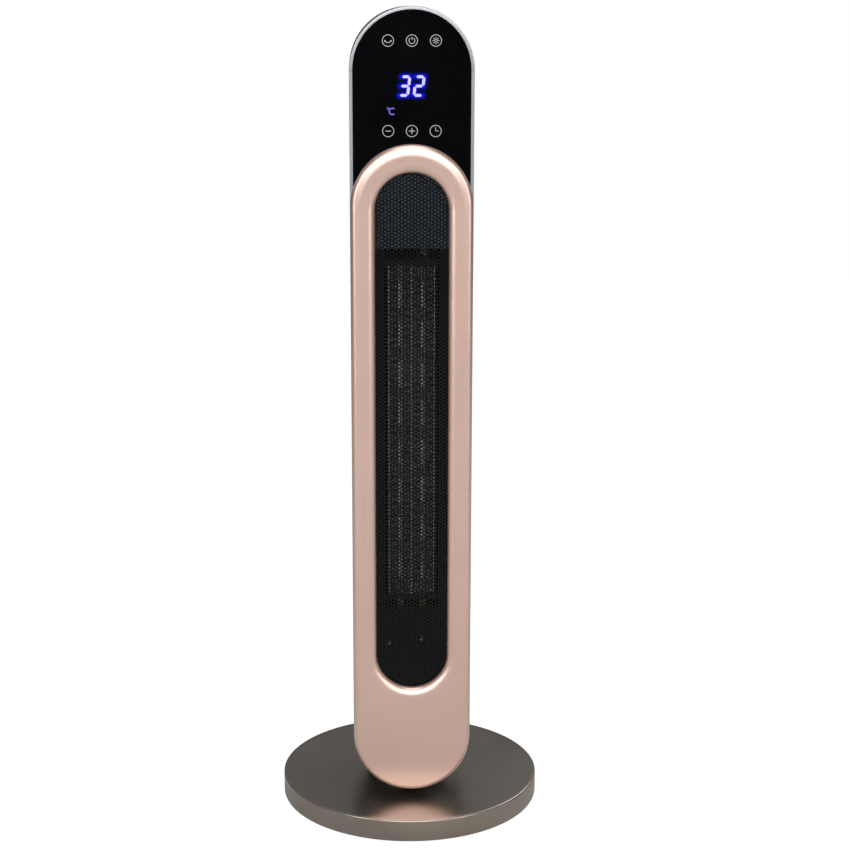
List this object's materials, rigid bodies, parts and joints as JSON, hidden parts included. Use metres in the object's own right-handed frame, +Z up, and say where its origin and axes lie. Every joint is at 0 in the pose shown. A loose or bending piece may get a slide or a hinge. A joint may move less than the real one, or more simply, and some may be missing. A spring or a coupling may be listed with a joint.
{
  "type": "ceramic tower heater",
  "caption": "Tall oscillating ceramic fan heater: slim round-ended tower with a perforated outlet, touch display and rear intake, turning on a weighted round base.",
  "frame": {"origin": "centre of the round base on the floor, which is also on the swivel axis", "axes": "+Z up along the swivel axis, front of the heater faces -Y, +X to the right seen from the front"},
  "size_m": [0.262, 0.262, 0.8],
  "materials": {
    "rose_gold_paint": "satin metallic",
    "black_glass": "polished",
    "silver_trim": "satin",
    "black_casing": "fine moulded texture",
    "black_grille": "powder coated",
    "bronze_base": "satin metallic",
    "black_moulding": "moulded",
    "rubber": "matt",
    "steel": "zinc plated",
    "aluminium": "mill",
    "ceramic": "fired",
    "brass": "plain",
    "circuit_board": "solder resist",
    "white_nylon": "moulded",
    "fan_plastic": "moulded",
    "copper_coil": "enamelled wire"
  },
  "bodies": {
    "base": {"base_cover": "bronze_base", "base_bottom_plate": "black_moulding", "ballast_ring": "steel", "rubber_feet": "rubber", "base_screws": "steel", "cord_gland": "rubber", "pivot_post": "steel", "thrust_washer": "white_nylon", "swing_gear": "white_nylon", "gear_lock_ring": "steel"},
    "tower": {"neck": "black_casing", "rear_shell": "black_casing", "side_band": "silver_trim", "top_cap": "silver_trim", "front_frame": "black_moulding", "control_glass": "black_glass", "front_panel": "rose_gold_paint", "outlet_grille": "black_grille", "outlet_baffle": "black_moulding", "baffle_screws": "steel", "heater_fins": "aluminium", "ceramic_stones": "ceramic", "electrode_strips": "aluminium", "element_plates": "aluminium", "element_end_caps": "black_moulding", "element_terminals": "brass", "fan_scroll": "black_moulding", "fan_tongue": "black_moulding", "duct_upper_plate": "steel", "duct_lower_plate": "steel", "upper_bearing": "rubber", "motor_stack": "steel", "motor_coil": "copper_coil", "motor_bridges": "steel", "motor_spacers": "rubber", "thermal_cutout": "aluminium", "thermal_fuse": "white_nylon", "display_board": "circuit_board", "digit_module": "black_moulding", "touch_pads": "rubber", "control_board": "circuit_board", "relays": "black_moulding", "power_capacitor": "white_nylon", "tilt_switch": "black_moulding", "swing_motor": "steel", "swing_bracket": "steel", "intake_grille": "black_casing", "dust_filter": "black_moulding", "switch_housing": "black_moulding", "case_screws": "steel"},
    "fan": {"fan_wheel": "fan_plastic", "motor_shaft": "steel", "motor_rotor": "aluminium", "stub_shaft": "steel"},
    "swing_drive": {"swing_pinion": "white_nylon", "swing_motor_shaft": "steel"},
    "rocker": {"switch_rocker": "black_moulding"}
  },
  "joints": [
    {"name": "tower_swing", "type": "hinge", "parent": "base", "child": "tower", "pos_m": [0, 0, 0.045], "axis": [0, 0, 1], "range_deg": [-35, 35]},
    {"name": "fan_spin", "type": "hinge", "parent": "tower", "child": "fan", "pos_m": [0, 0.014, 0.4], "axis": [0, 0, 1], "continuous": true},
    {"name": "pinion_turn", "type": "hinge", "parent": "tower", "child": "swing_drive", "pos_m": [0, 0.0321, 0.072], "axis": [0, 0, 1], "range_deg": [-106, 106]},
    {"name": "rocker_press", "type": "hinge", "parent": "tower", "child": "rocker", "pos_m": [0, 0.0565, 0.155], "axis": [1, 0, 0], "range_deg": [0, 18]}
  ],
  "couplings": [
    {"joint": "pinion_turn", "follows": "tower_swing", "ratio": 3}
  ]
}
